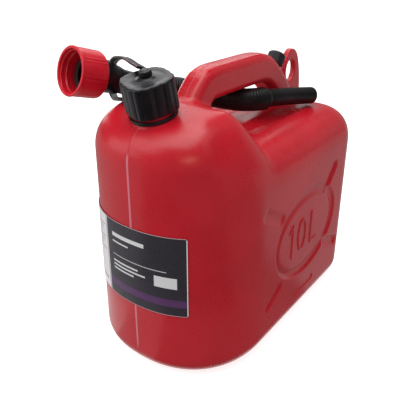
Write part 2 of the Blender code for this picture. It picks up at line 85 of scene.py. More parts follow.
def curve_through(points, per_span, closed=False):
    """Centripetal curve through the rows of an array."""
    points = np.asarray(points, float)
    count = len(points)
    spans = count if closed else count - 1
    out = []
    for i in range(spans):
        p1, p2 = points[i], points[(i + 1) % count]
        if closed:
            p0, p3 = points[i - 1], points[(i + 2) % count]
        else:
            p0 = points[i - 1] if i else p1 - (p2 - p1)
            p3 = points[i + 2] if i + 2 < count else p2 + (p2 - p1)
        t0, t1 = 0.0, np.linalg.norm(p1 - p0) ** 0.5
        t2 = t1 + np.linalg.norm(p2 - p1) ** 0.5
        t3 = t2 + np.linalg.norm(p3 - p2) ** 0.5
        t = (t1 + (t2 - t1) * np.arange(per_span) / per_span)[:, None]
        a1 = p0 * ((t1 - t) / (t1 - t0)) + p1 * ((t - t0) / (t1 - t0))
        a2 = p1 * ((t2 - t) / (t2 - t1)) + p2 * ((t - t1) / (t2 - t1))
        a3 = p2 * ((t3 - t) / (t3 - t2)) + p3 * ((t - t2) / (t3 - t2))
        b1 = a1 * ((t2 - t) / (t2 - t0)) + a2 * ((t - t0) / (t2 - t0))
        b2 = a2 * ((t3 - t) / (t3 - t1)) + a3 * ((t - t1) / (t3 - t1))
        out.append(b1 * ((t2 - t) / (t2 - t1)) + b2 * ((t - t1) / (t2 - t1)))
    if not closed:
        out.append(points[-1:])
    return np.concatenate(out)


def along(points, lengths):
    """Positions and unit tangents at the given lengths along a polyline."""
    steps = np.linalg.norm(np.diff(points, axis=0), axis=1)
    s = np.concatenate([[0.0], np.cumsum(steps)])
    place = np.stack([np.interp(lengths, s, points[:, k]) for k in range(3)], 1)
    ahead = np.stack([np.interp(lengths + 1.2, s, points[:, k]) for k in range(3)], 1)
    behind = np.stack([np.interp(lengths - 1.2, s, points[:, k]) for k in range(3)], 1)
    t = ahead - behind
    return place, t / np.linalg.norm(t, axis=1)[:, None]


def length_of(points):
    return float(np.linalg.norm(np.diff(points, axis=0), axis=1).sum())


def make_mesh(name, points, faces, mat, angle=35.0, normals=None):
    """A mesh object from millimetre points and faces given as index rows."""
    mesh = bpy.data.meshes.new(name)
    points = np.asarray(points, np.float64) * MM
    flat, starts = [], []
    at = 0
    for group in faces:
        group = np.asarray(group, np.int32)
        starts.append(at + np.arange(len(group), dtype=np.int32) * group.shape[1])
        flat.append(group.reshape(-1))
        at += group.size
    flat, starts = np.concatenate(flat), np.concatenate(starts)
    mesh.vertices.add(len(points))
    mesh.vertices.foreach_set("co", points.astype(np.float32).reshape(-1))
    mesh.loops.add(len(flat))
    mesh.loops.foreach_set("vertex_index", flat)
    mesh.polygons.add(len(starts))
    mesh.polygons.foreach_set("loop_start", starts)
    mesh.update(calc_edges=True)
    mesh.validate()
    mesh.shade_smooth()
    if normals is not None:
        mesh.normals_split_custom_set_from_vertices(normals.tolist())
    elif angle:
        mesh.set_sharp_from_angle(angle=math.radians(angle))
    mesh.materials.append(mat)
    obj = bpy.data.objects.new(name, mesh)
    scene.collection.objects.link(obj)
    return obj


def ring_faces(rings, steps, closed_loop=False, offset=0):
    """Quads between rings of equal size, each ring closed on itself."""
    k = np.arange(steps)
    out = []
    last = rings if closed_loop else rings - 1
    for r in range(last):
        a = offset + r * steps
        b = offset + ((r + 1) % rings) * steps
        out.append(np.stack([a + k, a + (k + 1) % steps, b + (k + 1) % steps, b + k], 1))
    return np.concatenate(out)


def rounded(points, radii, count=5):
    """Rounds the corners of a profile. A radius of 0 leaves the corner."""
    points = [np.array(p, float) for p in points]
    out = []
    for i, p in enumerate(points):
        r = radii[i]
        a, b = points[i - 1], points[(i + 1) % len(points)]
        if r <= 0:
            out.append(p)
            continue
        da, db = a - p, b - p
        la, lb = np.linalg.norm(da), np.linalg.norm(db)
        cut = min(r, la * 0.49, lb * 0.49)
        start, end = p + da / la * cut, p + db / lb * cut
        for k in range(count + 1):
            t = k / count
            out.append(start * (1 - t) ** 2 + 2 * p * t * (1 - t) + end * t * t)
    return np.array(out)


def refine(profile, longest, closed=True):
    """Adds points so that no side of a profile is longer than this."""
    out = []
    count = len(profile)
    for i in range(count if closed else count - 1):
        a, b = profile[i], profile[(i + 1) % count]
        n = max(1, int(math.ceil(np.linalg.norm(b - a) / longest)))
        for k in range(n):
            out.append(a + (b - a) * k / n)
    if not closed:
        out.append(profile[-1])
    return np.array(out)


def axes_of(direction):
    q = Vector(direction).to_track_quat("Z", "Y")
    return (
        np.array(q @ Vector((1, 0, 0))),
        np.array(q @ Vector((0, 1, 0))),
        np.array(q @ Vector((0, 0, 1))),
    )


def turn(name, origin, direction, profile, steps, mat, radial=None, angle=35.0):
    """A body of revolution from a closed profile of (radius, height) points.

    Points of the profile on the axis become poles. radial(theta, r, h) gives
    the radius to use.
    """
    ex, ey, ez = axes_of(direction)
    origin = np.asarray(origin, float)
    theta = np.arange(steps) * 2 * math.pi / steps
    verts, rings, at = [], [], 0
    for r, h in profile:
        if r < 1e-6:
            verts.append((origin + ez * h)[None])
            rings.append((at, 1))
            at += 1
            continue
        radius = np.full(steps, r) if radial is None else radial(theta, r, h)
        ring = (
            origin
            + np.outer(radius * np.cos(theta), ex)
            + np.outer(radius * np.sin(theta), ey)
            + ez * h
        )
        verts.append(ring)
        rings.append((at, steps))
        at += steps
    quads, tris = [], []
    k = np.arange(steps)
    for i in range(len(rings)):
        (a, na), (b, nb) = rings[i], rings[(i + 1) % len(rings)]
        if na == 1 and nb == 1:
            continue
        if na == 1:
            tris.append(np.stack([np.full(steps, a), b + (k + 1) % steps, b + k], 1))
        elif nb == 1:
            tris.append(np.stack([a + k, a + (k + 1) % steps, np.full(steps, b)], 1))
        else:
            quads.append(
                np.stack([a + k, a + (k + 1) % steps, b + (k + 1) % steps, b + k], 1)
            )
    groups = []
    if quads:
        groups.append(np.concatenate(quads))
    if tris:
        groups.append(np.concatenate(tris))
    return make_mesh(name, np.concatenate(verts), groups, mat, angle)


def place_piece(obj, body, slot, *nodes):
    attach(obj, body)
    if nodes:
        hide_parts(*nodes)
    return obj


# =============================================================== materials
class Nodes:
    """A material's node tree, with short ways to add and join nodes."""

    def __init__(self, name):
        self.mat = bpy.data.materials.new(name)
        self.mat.use_nodes = True
        self.tree = self.mat.node_tree
        self.shader = self.tree.nodes["Principled BSDF"]
        self.where = self.add("ShaderNodeTexCoord").outputs["Object"]

    def add(self, kind, **settings):
        node = self.tree.nodes.new(kind)
        for key, value in settings.items():
            setattr(node, key, value)
        return node

    def join(self, a, b):
        self.tree.links.new(a, b)

    def put(self, socket, value):
        if isinstance(value, bpy.types.NodeSocket):
            self.join(value, socket)
        else:
            socket.default_value = value

    def set(self, **values):
        for key, value in values.items():
            self.put(self.shader.inputs[key.replace("_", " ")], value)

    def math(self, operation, a, b=0.0, clamp=False):
        node = self.add("ShaderNodeMath", operation=operation, use_clamp=clamp)
        self.put(node.inputs[0], a)
        self.put(node.inputs[1], b)
        return node.outputs[0]

    def ramp(self, value, low, high, to_low=0.0, to_high=1.0):
        node = self.add("ShaderNodeMapRange", interpolation_type="SMOOTHSTEP")
        self.put(node.inputs["Value"], value)
        node.inputs["From Min"].default_value = low
        node.inputs["From Max"].default_value = high
        node.inputs["To Min"].default_value = to_low
        node.inputs["To Max"].default_value = to_high
        return node.outputs["Result"]

    def noise(self, scale, detail=3.0, roughness=0.5, stretch=None):
        node = self.add("ShaderNodeTexNoise")
        source = self.where
        if stretch:
            mapping = self.add("ShaderNodeMapping")
            mapping.inputs["Scale"].default_value = stretch
            self.join(source, mapping.inputs["Vector"])
            source = mapping.outputs["Vector"]
        self.join(source, node.inputs["Vector"])
        node.inputs["Scale"].default_value = scale
        node.inputs["Detail"].default_value = detail
        node.inputs["Roughness"].default_value = roughness
        return node.outputs["Fac"]

    def mix(self, factor, a, b):
        node = self.add("ShaderNodeMix", data_type="RGBA")
        self.put(node.inputs["Factor"], factor)
        self.put(node.inputs["A"], a if not isinstance(a, tuple) else (*a[:3], 1.0))
        self.put(node.inputs["B"], b if not isinstance(b, tuple) else (*b[:3], 1.0))
        return node.outputs["Result"]

    def bump(self, height, strength, distance, normal=None):
        node = self.add("ShaderNodeBump")
        node.inputs["Strength"].default_value = strength
        node.inputs["Distance"].default_value = distance
        self.put(node.inputs["Height"], height)
        if normal is not None:
            self.join(normal, node.inputs["Normal"])
        return node.outputs["Normal"]

    def split(self, vector=None):
        node = self.add("ShaderNodeSeparateXYZ")
        self.join(vector if vector is not None else self.where, node.inputs[0])
        return node.outputs


def colour_pair(n, low, high, scale, detail=3.0):
    return n.mix(n.ramp(n.noise(scale, detail), 0.35, 0.65), low, high)


def red_moulding():
    """Blow-moulded polyethylene: satin, fine grain, a sight stripe in front."""
    n = Nodes("red_moulding")
    x, y, z = n.split()
    base = colour_pair(n, (0.450, 0.0058, 0.0150), (0.500, 0.0074, 0.0178), 14.0)
    fine = n.ramp(n.noise(420.0, 4.0, 0.65), 0.3, 0.7)
    base = n.mix(n.math("MULTIPLY", fine, 0.045), base, (0.58, 0.018, 0.028))
    # paler where the wall is rubbed: outer edges of the grip, lug and rims
    edge = n.add("ShaderNodeNewGeometry").outputs["Pointiness"]
    worn = n.math("MULTIPLY", n.ramp(edge, 0.53, 0.60), n.ramp(n.noise(160.0, 4.0), 0.42, 0.62))
    base = n.mix(n.math("MULTIPLY", worn, 0.30), base, (0.56, 0.075, 0.080))
    # the parting line's scar
    across = n.math("ABSOLUTE", x)
    scar = n.ramp(across, 0.00015, 0.00050, 1.0, 0.0)
    base = n.mix(n.math("MULTIPLY", scar, 0.35), base, (0.22, 0.006, 0.012))
    # the see-through stripe down the front end
    stripe = n.ramp(across, 0.00085, 0.00130, 1.0, 0.0)
    stripe = n.math("MULTIPLY", stripe, n.ramp(y, -0.120, -0.124))
    stripe = n.math("MULTIPLY", stripe, n.ramp(z, 0.233, 0.226))
    stripe = n.math("MULTIPLY", stripe, n.ramp(z, 0.018, 0.034))
    base = n.mix(n.math("MULTIPLY", stripe, 0.90), base, (0.60, 0.19, 0.25))
    n.set(Base_Color=base)
    rough = n.math("ADD", n.ramp(n.noise(38.0, 3.0), 0.3, 0.7, 0.245, 0.295), n.math("MULTIPLY", fine, 0.03))
    n.set(Roughness=rough, IOR=1.50)
    grain = n.bump(n.noise(900.0, 2.0, 0.5), 0.30, 0.00003)
    waves = n.bump(n.noise(22.0, 2.0, 0.4), 0.5, 0.00035, grain)
    n.set(Normal=waves)
    return n.mat


def red_nut():
    n = Nodes("red_nut")
    base = colour_pair(n, (0.540, 0.0068, 0.0200), (0.590, 0.0098, 0.0250), 60.0)
    n.set(Base_Color=base, IOR=1.50, Specular_IOR_Level=0.34)
    n.set(Subsurface_Weight=0.40, Subsurface_Scale=0.003, Subsurface_Radius=(1.0, 0.10, 0.12))
    n.set(Roughness=n.ramp(n.noise(90.0, 3.0), 0.3, 0.7, 0.30, 0.38))
    n.set(Normal=n.bump(n.noise(1100.0, 3.0, 0.6), 0.25, 0.00004))
    return n.mat


def black_plastic(name, low, high, rough, grain=0.3, scuffs=0.15, shine=0.5):
    """Black moulded plastic with fine grain and a few dull scuffs."""
    n = Nodes(name)
    base = colour_pair(n, low, high, 50.0)
    dust = n.math("MULTIPLY", n.ramp(n.noise(210.0, 5.0, 0.7), 0.56, 0.72), scuffs)
    base = n.mix(dust, base, (0.10, 0.10, 0.105))
    n.set(Base_Color=base, IOR=1.50, Specular_IOR_Level=shine)
    n.set(Roughness=n.ramp(n.noise(75.0, 4.0, 0.6), 0.3, 0.7, rough - 0.05, rough + 0.07))
    n.set(Normal=n.bump(n.noise(1000.0, 3.0, 0.6), grain, 0.00005))
    return n.mat


def foam():
    n = Nodes("seal_foam")
    n.set(Base_Color=colour_pair(n, (0.56, 0.56, 0.54), (0.66, 0.66, 0.63), 300.0))
    n.set(Roughness=n.ramp(n.noise(200.0), 0.3, 0.7, 0.55, 0.70))
    n.set(Normal=n.bump(n.noise(900.0, 4.0, 0.7), 0.6, 0.0001))
    return n.mat


RED = red_moulding()
NUT_RED = red_nut()
BLACK = black_plastic("black_moulding", (0.0066, 0.0057, 0.0088), (0.0100, 0.0086, 0.0125), 0.34)
TETHER = black_plastic("black_tether", (0.0085, 0.0076, 0.0100), (0.0125, 0.0112, 0.0145), 0.34, 0.3, 0.12, 0.42)
SPOUT = black_plastic("black_spout", (0.0060, 0.0050, 0.0064), (0.0090, 0.0078, 0.0096), 0.37, 0.3, 0.08, 0.29)
RUBBER = black_plastic("gasket_rubber", (0.0140, 0.0140, 0.0145), (0.0200, 0.0200, 0.0205), 0.66, 0.5, 0.25)
FOAM = foam()

# =============================================================== can body
# Dimensions of the tank's outer form.
WIDTH, LENGTH = 181.5, 314.6
DRAFT, SLANT, REFERENCE_Z = 0.0101, 0.0088, 110.0
FRONT_Y, FRONT_POWER = -67.1, 2.2
REAR_CORNER, BASE_ROUND = 47.3, 22.0
SHOULDER_FRONT, SHOULDER_SIDE, SHOULDER_POWER = 28.6, 39.0, 2.4
HALF, REAR = WIDTH / 2, LENGTH / 2
FRONT_DEPTH = FRONT_Y + LENGTH / 2

NECK_BASE = np.array([0.0, -119.7, 258.4])
NECK_TILT = math.radians(13.24)
NECK_DIR = np.array([0.0, -math.sin(NECK_TILT), math.cos(NECK_TILT)])
VENT_RIM = np.array([0.0, 98.8, 277.3])
VENT_TILT = math.radians(34.0)
VENT_DIR = np.array([0.0, math.sin(VENT_TILT), math.cos(VENT_TILT)])

HANDLE_HALF, HANDLE_EDGE, HANDLE_CROWN = 14.3, 8.0, 1.2
HANDLE = curve_through(
    [
        (-76.0, 240.0, 13.6), (-66.0, 252.6, 14.0), (-56.2, 262.8, 14.4),
        (-48.6, 268.4, 14.8), (-38.0, 270.2, 15.3), (-20.0, 270.4, 15.4),
        (12.0, 270.4, 15.4), (36.0, 270.3, 15.4), (50.0, 269.4, 15.2),
        (61.0, 266.8, 14.9), (69.0, 262.6, 14.6), (80.0, 254.0, 14.4),
        (92.0, 243.4, 14.2), (103.0, 231.4, 14.0), (114.0, 217.6, 13.6),
        (121.0, 206.0, 13.2),
    ],
    5,
)
LUG = curve_through(
    [
        (113.0, 222.0), (114.0, 240.0), (114.4, 252.0), (116.0, 263.5),
        (119.0, 272.0), (124.5, 278.2), (131.0, 279.6), (138.4, 277.4),
        (144.2, 272.0), (149.2, 262.5), (153.4, 249.0), (156.0, 234.0),
        (156.6, 222.0), (154.5, 206.0), (146.0, 196.0), (124.0, 198.0),
    ],
    4,
    closed=True,
)


def plan_inset(ax, y):
    """How far a point is inside the tank's plan outline; negative outside."""
    corner_x, corner_y = ax - (HALF - REAR_CORNER), y - (REAR - REAR_CORNER)
    outer = np.hypot(np.maximum(corner_x, 0), np.maximum(corner_y, 0))
    back = REAR_CORNER - outer - np.minimum(np.maximum(corner_x, corner_y), 0)
    ahead = y < FRONT_Y
    if ahead.any():
        px = np.maximum(ax[ahead], 1e-6)
        py = np.maximum(FRONT_Y - y[ahead], 1e-6)
        p = FRONT_POWER
        i = np.minimum(HALF - px, FRONT_DEPTH - py)
        for _ in range(7):
            a, b = px / (HALF - i), py / (FRONT_DEPTH - i)
            ap, bp = a**p, b**p
            i = i - (ap + bp - 1) / (p * (ap / (HALF - i) + bp / (FRONT_DEPTH - i)))
        back[ahead] = i
    return back


def roof_height(x, y):
    """The roof and front dome, without the rounded shoulder."""
    tongue = fall((y + 88.0 + 0.01455 * x * x) / 105.6)
    held = smooth_min(y, np.full_like(y, -111.5), 22.0)
    side = fall((held + 88.0 + 0.0132 * x * x) / 105.6)
    back = fall(np.clip((y + 93.2) / 50.0, 0, 1) ** 1.44)
    rise = smooth_min(smooth_max(tongue, side * back, 0.12), np.full_like(y, 1.015), 0.10)
    z = 220.0 - 0.0002 * x * x + 41.8 * rise
    ahead = np.maximum(0.0, -88.0 - y)
    z = z - 0.235 * ahead * ahead / (ahead + 10.0)
    gap = np.maximum(np.maximum(-14.0 - y, 0.0), y - 74.0)
    d = np.hypot(np.abs(x) - 29.7, gap)
    return z - 4.3 * fall(d / 17.0)


def stroke(y, z, a, b, width):
    """Distance outside a round-ended bar from a to b."""
    a, b = np.array(a, float), np.array(b, float)
    d = b - a
    t = np.clip(((y - a[0]) * d[0] + (z - a[1]) * d[1]) / (d @ d), 0, 1)
    return np.hypot(y - a[0] - d[0] * t, z - a[1] - d[1] * t) - width


def oval(y, z, cy, cz, ry, rz):
    """Approximate distance outside an oval."""
    g = np.sqrt(((y - cy) / ry) ** 2 + ((z - cz) / rz) ** 2)
    slope = np.sqrt(((y - cy) / ry**2) ** 2 + ((z - cz) / rz**2) ** 2)
    return (g - 1) * g / np.maximum(slope, 1e-4)


FLANK = (25.8, 106.7)


def flank_relief(x, y, z):
    """How deep the flanks' moulded pattern lies below their surface."""
    outer = oval(y, z, 25.8, 106.7, 71.7, 52.6)
    inner = oval(y, z, 23.0, 106.7, 61.5, 38.3)
    depth = 2.7 * step(0.5 - (outer + 2.2) / 5.0) * step(0.5 + (inner - 2.2) / 7.5)
    # the disc lies a little below the flank, so its mark doesn't stand proud of it
    depth = depth + 0.7 * step(0.5 - (inner - 2.2) / 7.5)
    for a, b, wide, low in (
        ((-67.0, 162.0), (-38.0, 146.0), 8.5, 1.7),
        ((87.0, 164.0), (66.0, 141.0), 8.5, 3.3),
        ((-58.0, 49.5), (-32.0, 64.0), 5.5, 2.9),
        ((109.0, 56.0), (78.0, 69.0), 9.5, 3.4),
    ):
        d = stroke(y, z, a, b, 0.0)
        depth = np.maximum(depth, low * step(1.15 * (1 - d / wide)))
    # the raised capacity mark, which reads the right way round on each flank
    u = np.where(x > 0, y, 2 * 23.0 - y)
    one = np.minimum(
        stroke(u, z, (-9.0, 88.0), (-9.0, 126.0), 1.7),
        stroke(u, z, (-9.0, 126.0), (-15.5, 119.5), 1.4),
    )
    nought = np.abs(oval(u, z, 13.0, 107.0, 8.2, 18.2)) - 1.7
    litre = np.minimum(
        stroke(u, z, (35.0, 88.5), (35.0, 125.5), 1.7),
        stroke(u, z, (35.0, 88.5), (49.5, 88.5), 1.7),
    )
    mark = np.minimum(np.minimum(one, nought), litre)
    depth = depth - 1.3 * step(0.5 - mark / 1.6)
    # a plain recessed bar below the oval
    bar = stroke(u, z, (3.0, 34.0), (47.0, 34.0), 3.6)
    return depth + 1.2 * step(0.5 - bar / 1.5)


def tank_field(x, y, z):
    ax = np.abs(x)
    up = z - REFERENCE_Z
    ahead = np.clip((FRONT_Y - y) / FRONT_DEPTH, 0, None)
    inset = plan_inset(ax + DRAFT * up, y - SLANT * up * ahead)
    flank = (ax > 70) & (np.abs(y - 20) < 105) & (z > 30) & (z < 185)
    if flank.any():
        inset[flank] -= flank_relief(x[flank], y[flank], z[flank])
    s = ax / np.sqrt(ax * ax + np.maximum(FRONT_Y - y, 0) ** 2 + 1e-6)
    r = np.where(y > FRONT_Y, SHOULDER_SIDE, SHOULDER_FRONT + (SHOULDER_SIDE - SHOULDER_FRONT) * s)
    u = np.maximum(1 - inset / r, 0)
    v = np.maximum(1 + (z - roof_height(x, y)) / r, 0)
    n = SHOULDER_POWER
    above = r * ((u**n + v**n) ** (1 / n) - 1)
    u = np.maximum(1 - inset / BASE_ROUND, 0)
    v = np.maximum(1 - z / BASE_ROUND, 0)
    below = BASE_ROUND * (np.sqrt(u * u + v * v) - 1)
    return np.maximum(above, below)


def handle_field(x, y, z):
    """Distance to the handle's rounded oblong section, swept on its line."""
    best = np.full(y.shape, 1e9)
    side = np.zeros(y.shape)
    thick = np.zeros(y.shape)
    for a, b in zip(HANDLE[:-1], HANDLE[1:]):
        dy, dz = b[0] - a[0], b[1] - a[1]
        t = np.clip(((y - a[0]) * dy + (z - a[1]) * dz) / (dy * dy + dz * dz), 0, 1)
        oy, oz = y - a[0] - dy * t, z - a[1] - dz * t
        d = np.hypot(oy, oz)
        near = d < best
        best = np.where(near, d, best)
        side = np.where(near, np.sign(dy * oz - dz * oy), side)
        thick = np.where(near, a[2] + (b[2] - a[2]) * t, thick)
    crown = np.where(side > 0, HANDLE_CROWN * (1 - np.minimum((x / HANDLE_HALF) ** 2, 1)), 0)
    qx = np.abs(x) - (HANDLE_HALF - HANDLE_EDGE)
    qn = best - (thick + crown - HANDLE_EDGE)
    return (
        np.hypot(np.maximum(qx, 0), np.maximum(qn, 0))
        + np.minimum(np.maximum(qx, qn), 0)
        - HANDLE_EDGE
    )


def lug_field(x, y, z):
    """Distance to the flat hanging lug with its oval hole."""
    best = np.full(y.shape, 1e9)
    inside = np.zeros(y.shape, bool)
    count = len(LUG)
    for i in range(count):
        a, b = LUG[i], LUG[(i + 1) % count]
        dy, dz = b[0] - a[0], b[1] - a[1]
        t = np.clip(((y - a[0]) * dy + (z - a[1]) * dz) / (dy * dy + dz * dz), 0, 1)
        best = np.minimum(best, np.hypot(y - a[0] - dy * t, z - a[1] - dz * t))
        crosses = (a[1] > z) != (b[1] > z)
        if dz != 0:
            inside ^= crosses & (y < a[0] + (z - a[1]) * dy / dz)
    flat = np.where(inside, -best, best)
    flat = np.maximum(flat, -oval(y, z, 129.3, 254.6, 11.2, 13.2))
    r = 1.1
    qa, qx = flat + r, np.abs(x) - 3.5 + r
    return np.hypot(np.maximum(qa, 0), np.maximum(qx, 0)) + np.minimum(np.maximum(qa, qx), 0) - r


def tube_field(x, y, z, origin, direction, radius, low, high, soft=0.8):
    """Distance to a round bar between two heights along its own axis."""
    h = (x - origin[0]) * direction[0] + (y - origin[1]) * direction[1] + (z - origin[2]) * direction[2]
    px = x - origin[0] - h * direction[0]
    py = y - origin[1] - h * direction[1]
    pz = z - origin[2] - h * direction[2]
    qr = np.sqrt(px * px + py * py + pz * pz) - radius + soft
    qh = np.abs(h - (low + high) / 2) - (high - low) / 2 + soft
    return np.hypot(np.maximum(qr, 0), np.maximum(qh, 0)) + np.minimum(np.maximum(qr, qh), 0) - soft


def body_field(x, y, z):
    """Signed distance, near enough, to the whole one-piece moulding."""
    f = tank_field(x, y, z)
    m = (np.abs(x) < 40) & (y > -115) & (y < 150) & (z > 180)
    if m.any():
        part = handle_field(x[m], y[m], z[m])
        f[m] = smooth_min(f[m], part, 6.0)
    m = (np.abs(x) < 22) & (y > 96) & (z > 180)
    if m.any():
        f[m] = smooth_min(f[m], lug_field(x[m], y[m], z[m]), 4.0)
    m = (np.abs(x) < 45) & (y < -75) & (z > 215)
    if m.any():
        part = tube_field(x[m], y[m], z[m], NECK_BASE, NECK_DIR, 19.3, -16.0, 28.0)
        g = smooth_min(f[m], part, 5.0)
        bore = tube_field(x[m], y[m], z[m], NECK_BASE, NECK_DIR, 16.8, -11.0, 60.0, 1.0)
        f[m] = smooth_max(g, -bore, 1.2)
    m = (np.abs(x) < 24) & (y > 60) & (y < 125) & (z > 235)
    if m.any():
        part = tube_field(x[m], y[m], z[m], VENT_RIM, VENT_DIR, 6.9, -26.0, -2.9)
        g = smooth_min(f[m], part, 3.0)
        bore = tube_field(x[m], y[m], z[m], VENT_RIM, VENT_DIR, 4.4, -19.0, 20.0, 0.6)
        f[m] = smooth_max(g, -bore, 0.8)
    # the parting line stands a hair proud, and is trimmed flush at the rear
    return f - 0.22 * np.exp(-((x / 0.42) ** 2)) * step((z - 4.0) / 8.0) * step((154.0 - y) / 5.0)


def sample_field(field, xs, ys, zs, skip=4, band=10.0):
    """The field on a grid, worked out closely only near its surface."""
    cx, cy, cz = xs[::skip], ys[::skip], zs[::skip]
    gx, gy, gz = np.meshgrid(cx, cy, cz, indexing="ij")
    coarse = field(gx.ravel(), gy.ravel(), gz.ravel()).reshape(gx.shape)
    ix = np.clip((np.arange(len(xs)) + skip // 2) // skip, 0, len(cx) - 1)
    iy = np.clip((np.arange(len(ys)) + skip // 2) // skip, 0, len(cy) - 1)
    iz = np.clip((np.arange(len(zs)) + skip // 2) // skip, 0, len(cz) - 1)
    full = coarse[np.ix_(ix, iy, iz)].astype(np.float32)
    i, j, k = np.nonzero(np.abs(full) < band)
    for start in range(0, len(i), 1000000):
        s = slice(start, start + 1000000)
        full[i[s], j[s], k[s]] = field(xs[i[s]], ys[j[s]], zs[k[s]])
    return full


def surface_of(values, xs, ys, zs):
    """Points and quads of the surface where the sampled field is zero."""
    solid = values < 0
    nx, ny, nz = values.shape
    count = np.zeros((nx - 1, ny - 1, nz - 1), np.uint8)
    corners = [(a, b, c) for a in (0, 1) for b in (0, 1) for c in (0, 1)]
    for a, b, c in corners:
        count += solid[a : nx - 1 + a, b : ny - 1 + b, c : nz - 1 + c]
    mixed = (count > 0) & (count < 8)
    i, j, k = np.nonzero(mixed)
    index = np.full(mixed.shape, -1, np.int32)
    index[i, j, k] = np.arange(len(i))
    total, hits = np.zeros((len(i), 3)), np.zeros(len(i))
    for a in corners:
        for axis in range(3):
            if a[axis]:
                continue
            b = list(a)
            b[axis] = 1
            fa = values[i + a[0], j + a[1], k + a[2]].astype(float)
            fb = values[i + b[0], j + b[1], k + b[2]].astype(float)
            crosses = (fa < 0) != (fb < 0)
            t = np.where(crosses, fa / np.where(fa == fb, 1, fa - fb), 0)
            for axis2, grid, n in ((0, xs, i), (1, ys, j), (2, zs, k)):
                start = grid[n + a[axis2]]
                end = grid[n + b[axis2]]
                total[:, axis2] += np.where(crosses, start + (end - start) * t, 0)
            hits += crosses
    points = total / hits[:, None]
    quads = []
    for axis in range(3):
        cut = [slice(1, -1)] * 3
        cut[axis] = slice(None, -1)
        here = solid[tuple(cut)]
        cut[axis] = slice(1, None)
        there = solid[tuple(cut)]
        p, q, r = np.nonzero(here != there)
        facing = here[p, q, r]
        at = [p, q, r]
        o1, o2 = (axis + 1) % 3, (axis + 2) % 3
        rows = []
        for d1, d2 in ((0, 0), (1, 0), (1, 1), (0, 1)):
            c = [n.copy() for n in at]
            c[o1] = c[o1] + d1
            c[o2] = c[o2] + d2
            rows.append(index[c[0], c[1], c[2]])
        quad = np.stack(rows, 1)
        quads.append(np.where(facing[:, None], quad, quad[:, ::-1]))
    return points, np.concatenate(quads)


def gradient_of(field, points, gap=0.25):
    g = np.empty_like(points)
    for axis in range(3):
        a, b = points.copy(), points.copy()
        a[:, axis] += gap
        b[:, axis] -= gap
        g[:, axis] = field(a[:, 0], a[:, 1], a[:, 2]) - field(b[:, 0], b[:, 1], b[:, 2])
    return g / (2 * gap)


def settle(field, points, rounds=3, most=0.8):
    """Moves points onto the field's zero level, and gives their normals."""
    for _ in range(rounds):
        g = gradient_of(field, points)
        f = field(points[:, 0], points[:, 1], points[:, 2])
        move = -f[:, None] * g / np.maximum((g * g).sum(1), 0.05)[:, None]
        size = np.linalg.norm(move, axis=1)[:, None]
        points = points + move * np.minimum(1, most / np.maximum(size, 1e-9))
    g = gradient_of(field, points)
    return points, g / np.maximum(np.linalg.norm(g, axis=1), 1e-9)[:, None]


def spaced(low, high, gap, fine=None):
    """Grid coordinates, closer together round zero where fine is given."""
    if fine is None:
        return np.arange(low, high + gap, gap)
    near = np.array([0.22, 0.6, 1.1, 1.8, 2.8])
    far = np.arange(2.8 + gap, high + gap, gap)
    half = np.concatenate([near, far])
    return np.concatenate([-half[::-1], half])


CELL = 1.25
xs = spaced(-93.0, 93.0, CELL, fine=True)
ys = spaced(-160.0, 160.5, CELL)
zs = spaced(-2.1, 290.5, CELL)
values = sample_field(body_field, xs, ys, zs)
points, quads = surface_of(values, xs, ys, zs)
points, normals = settle(body_field, points)
points[:, 2] = np.maximum(points[:, 2], 0.02)
can_skin = make_mesh("can_body_skin", points, [quads], RED, normals=normals)
place_piece(can_skin, "root", "red_moulding", "can_body")


# ---- threads on the two necks
def thread(name, origin, direction, radius, low, turns, pitch, mat, height=1.3, foot=2.6):
    """A helical thread ridge whose ends run out into the neck."""
    ex, ey, ez = axes_of(direction)
    count = int(72 * turns)
    section = np.array([(-0.35, -foot / 2), (0.65, -foot / 5), (1.0, 0.0), (0.65, foot / 5), (-0.35, foot / 2)])
    verts = []
    for k in range(count + 1):
        t = k / count
        a = 2 * math.pi * turns * t
        rise = height * float(step(t * turns * 5) * step((1 - t) * turns * 5))
        h = low + pitch * turns * t
        d = ex * math.cos(a) + ey * math.sin(a)
        for out, up in section:
            r = radius + (out * rise if out > 0 else -0.35)
            verts.append(origin + d * r + ez * (h + up))
    n = len(section)
    quads = []
    for k in range(count):
        for s in range(n):
            s2 = (s + 1) % n
            quads.append((k * n + s, k * n + s2, (k + 1) * n + s2, (k + 1) * n + s))
    ends = [tuple(range(n))[::-1], tuple(count * n + s for s in range(n))]
    return make_mesh(name, np.array(verts), [np.array(quads), np.array(ends)], mat, 50)


place_piece(thread("filler_neck_thread", NECK_BASE, NECK_DIR, 19.3, 9.0, 2.6, 5.0, RED), "root", "red_moulding")
place_piece(thread("vent_neck_thread", VENT_RIM, VENT_DIR, 6.9, -10.5, 2.4, 2.6, RED, 0.6, 1.6), "root", "red_moulding")

# =============================================================== filler cap
CAP_LOW, CAP_TOP = 4.2, 32.8
cap_profile = rounded(
    [
        (20.9, CAP_LOW), (22.8, CAP_LOW), (23.3, CAP_LOW + 1.4),
        (23.0, CAP_TOP - 1.2), (21.8, CAP_TOP), (18.6, CAP_TOP - 0.1),
        (14.5, CAP_TOP - 0.6), (9.0, CAP_TOP + 0.1), (6.4, CAP_TOP + 1.8), (2.2, CAP_TOP + 1.9),
        (3.0, CAP_TOP + 2.3), (2.7, CAP_TOP + 3.9), (0.0, CAP_TOP + 4.1),
        (0.0, CAP_LOW + 26.4), (20.9, CAP_LOW + 26.4),
    ],
    [0.3, 0.6, 0.9, 1.0, 0.9, 1.5, 3.0, 2.5, 1.5, 0.0, 0.3, 0.4, 0, 0, 0.6],
)
cap_profile = refine(cap_profile, 1.6)


